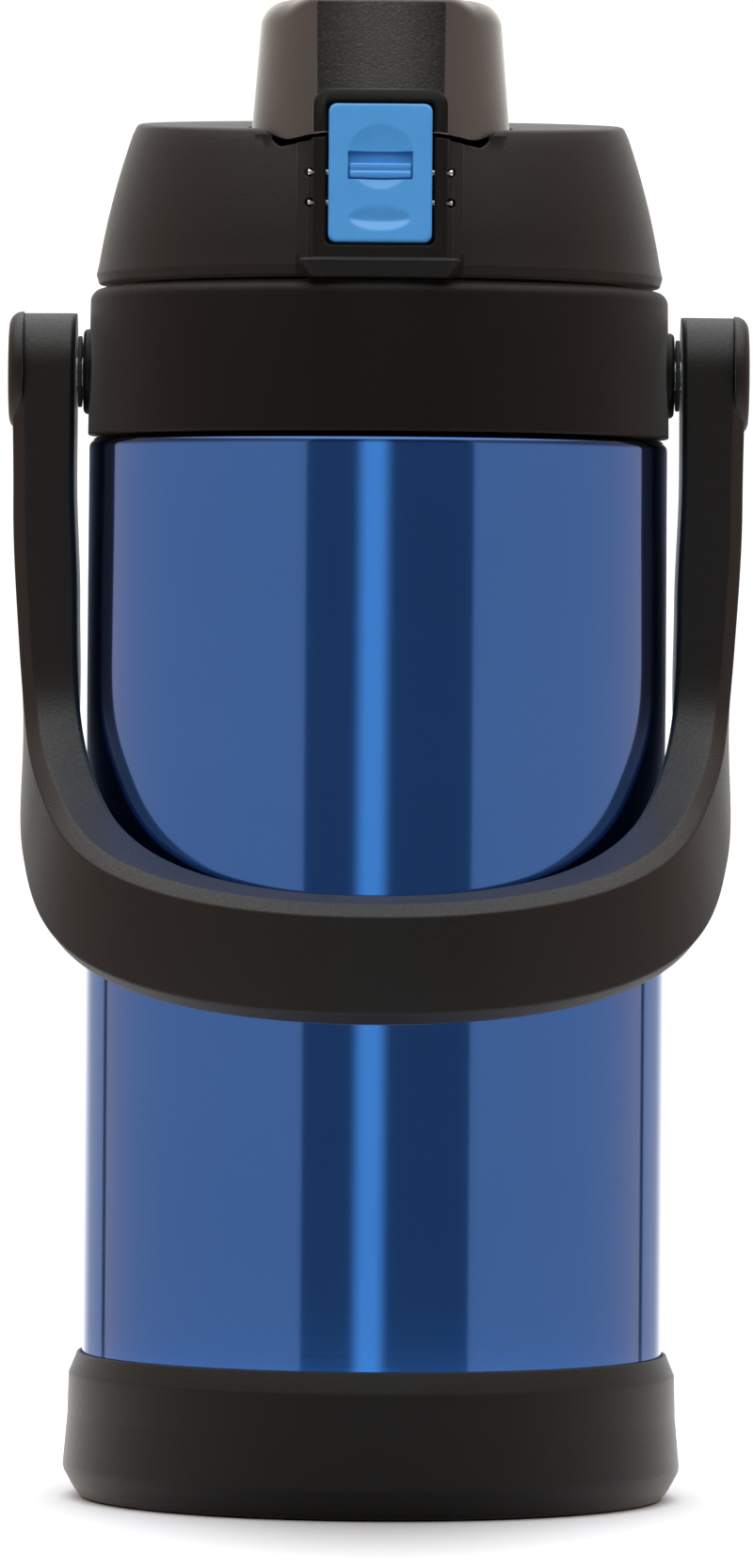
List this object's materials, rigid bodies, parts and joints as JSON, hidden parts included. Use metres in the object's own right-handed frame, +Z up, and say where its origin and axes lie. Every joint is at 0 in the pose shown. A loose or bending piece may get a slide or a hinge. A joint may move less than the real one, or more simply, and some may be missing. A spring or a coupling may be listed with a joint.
{
  "type": "vacuum insulated jug",
  "caption": "Large steel vacuum jug with screw lid, sprung flip cover over a drinking spout, push latch with lock slider and a wrap-round swing handle.",
  "frame": {"origin": "centre of the base pad's lower face, on the body's axis", "axes": "+Z up along the body, -Y towards the front with the latch, +X to the right seen from the front"},
  "size_m": [0.1492, 0.1356, 0.2995],
  "materials": {
    "blue_steel": "clear blue lacquer over polished steel",
    "steel": "satin",
    "foil": "bright",
    "black_plastic": "fine matte grain",
    "black_rubber": "matte",
    "grey_plastic": "satin",
    "silicone": "satin silicone",
    "blue_plastic": "satin gloss"
  },
  "bodies": {
    "jug": {"outer_shell": "blue_steel", "inner_vessel": "steel", "bottom_plate": "steel", "getter": "steel", "insulating_foil": "foil", "base_cup": "black_plastic", "base_pad": "black_rubber", "collar": "black_plastic", "handle_pin_left": "steel", "handle_pin_right": "steel"},
    "seal": {"lid_seal": "silicone"},
    "lid": {"lid_body": "black_plastic", "lid_liner": "grey_plastic", "spout": "black_plastic", "spout_seal": "silicone", "cover_hinge_pin": "steel", "cover_spring": "steel", "latch_pin": "steel", "latch_stop_pin": "steel", "latch_spring": "steel"},
    "cover": {"flip_cover": "black_plastic", "cover_liner": "grey_plastic", "cover_seal": "silicone"},
    "latch": {"latch_button": "blue_plastic"},
    "lock": {"lock_slider": "blue_plastic"},
    "handle": {"handle": "black_plastic", "handle_cap_left": "black_plastic", "handle_cap_right": "black_plastic", "handle_washer_left": "black_rubber", "handle_washer_right": "black_rubber"}
  },
  "joints": [
    {"name": "lid_rise", "type": "slide", "parent": "jug", "child": "seal", "axis": [0, 0, 1], "range_m": [0, 0.0151]},
    {"name": "lid_turn", "type": "hinge", "parent": "seal", "child": "lid", "pos_m": [0, 0, 0.2443], "axis": [0, 0, 1], "range_deg": [0, 450]},
    {"name": "cover_open", "type": "hinge", "parent": "lid", "child": "cover", "pos_m": [0, 0.0015, 0.28], "axis": [-1, 0, 0], "range_deg": [0, 110], "deforming": ["cover_spring"]},
    {"name": "latch_press", "type": "hinge", "parent": "lid", "child": "latch", "pos_m": [0, -0.0515, 0.2646], "axis": [1, 0, 0], "range_deg": [0, 6], "stiffness_Nm_per_rad": 0.05, "deforming": ["latch_spring"]},
    {"name": "lock_slide", "type": "slide", "parent": "latch", "child": "lock", "axis": [0, 0.2079, 0.9781], "range_m": [0, 0.0022]},
    {"name": "handle_swing", "type": "hinge", "parent": "jug", "child": "handle", "pos_m": [0, 0, 0.2267], "axis": [-1, 0, 0], "range_deg": [0, 290]}
  ],
  "couplings": [
    {"joint": "lid_rise", "follows": "lid_turn", "m_per_rad": 0.0019099}
  ]
}
